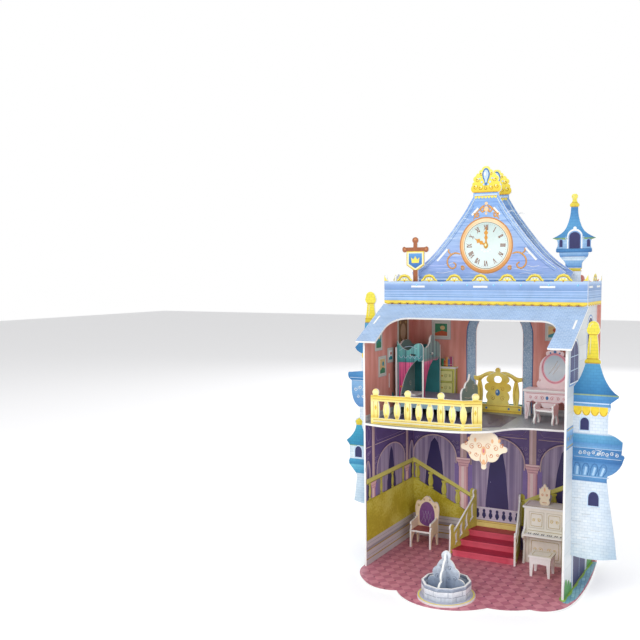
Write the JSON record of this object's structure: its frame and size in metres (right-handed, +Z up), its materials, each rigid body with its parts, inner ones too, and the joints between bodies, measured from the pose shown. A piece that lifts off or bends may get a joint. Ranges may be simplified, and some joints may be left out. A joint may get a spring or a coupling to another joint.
{
  "type": "toy castle",
  "caption": "Open-fronted two-storey toy castle of slotted printed foam board with flat side towers, a clock gable, balustrades, stairs and furniture.",
  "frame": {"origin": "underside of the base plate, midway between the side walls and midway between their front edges and the back of the castle", "axes": "+Z up, the open front towards -Y, +X to the viewer's right"},
  "size_m": [0.3138, 0.1918, 0.4191],
  "materials": {
    "terrace": "printed paper on foam board",
    "wall": "printed paper on foam board",
    "floor": "printed paper on foam board",
    "roof": "printed paper on foam board",
    "crown": "printed paper on foam board",
    "plain_core": "printed paper on foam board",
    "shield": "printed paper on foam board",
    "tower": "printed paper on foam board",
    "railing": "printed paper on foam board",
    "stair": "printed paper on foam board",
    "carpet": "printed paper on foam board",
    "ornament": "printed paper on foam board",
    "fountain": "printed paper on foam board",
    "music": "printed paper on foam board",
    "seat": "printed paper on foam board",
    "bedding": "printed paper on foam board",
    "canopy": "printed paper on foam board",
    "chest": "printed paper on foam board",
    "books": "printed paper on foam board",
    "vanity": "printed paper on foam board"
  },
  "bodies": {
    "root": {"base_plate": "terrace", "fountain_plate": "terrace", "left_wall": "wall", "right_wall": "wall", "back_wall": "wall", "upper_floor": "floor", "roof_front": "roof", "parapet_front": "crown", "parapet_left": "crown", "parapet_right": "crown", "gable_front": "crown", "gable_back": "crown", "roof_turret": "crown", "roof_deck": "plain_core", "gable_low_spacers": "plain_core", "gable_high_spacers": "plain_core", "shield_banner": "shield", "left_tower": "tower", "right_tower": "tower", "front_balustrade": "railing", "window_balustrade": "railing", "stair_side_left": "stair", "stair_side_right": "stair", "stair_treads": "carpet", "stair_risers": "carpet", "chandelier": "ornament", "candelabra": "ornament", "fountain_basin": "fountain", "fountain_statue_wide": "fountain", "fountain_statue_deep": "fountain", "piano_ends": "music", "piano_front": "music", "piano_keyboard_shelf": "music", "piano_lid": "music", "music_stool_legs": "music", "music_stool_seat": "music", "chair_back": "seat", "chair_seat": "seat", "chair_sides": "seat", "mattress": "bedding", "pillow": "bedding", "bed_sides": "bedding", "bed_headboard": "bedding", "bed_footboard": "bedding", "canopy_front": "canopy", "canopy_end": "canopy", "canopy_back": "canopy", "chest_front": "chest", "chest_sides": "chest", "chest_top": "chest", "books": "books", "vanity_front": "vanity", "vanity_sides": "vanity", "vanity_top": "vanity", "vanity_mirror": "vanity", "vanity_stool_legs": "vanity", "vanity_stool_seat": "vanity"}
  },
  "joints": []
}
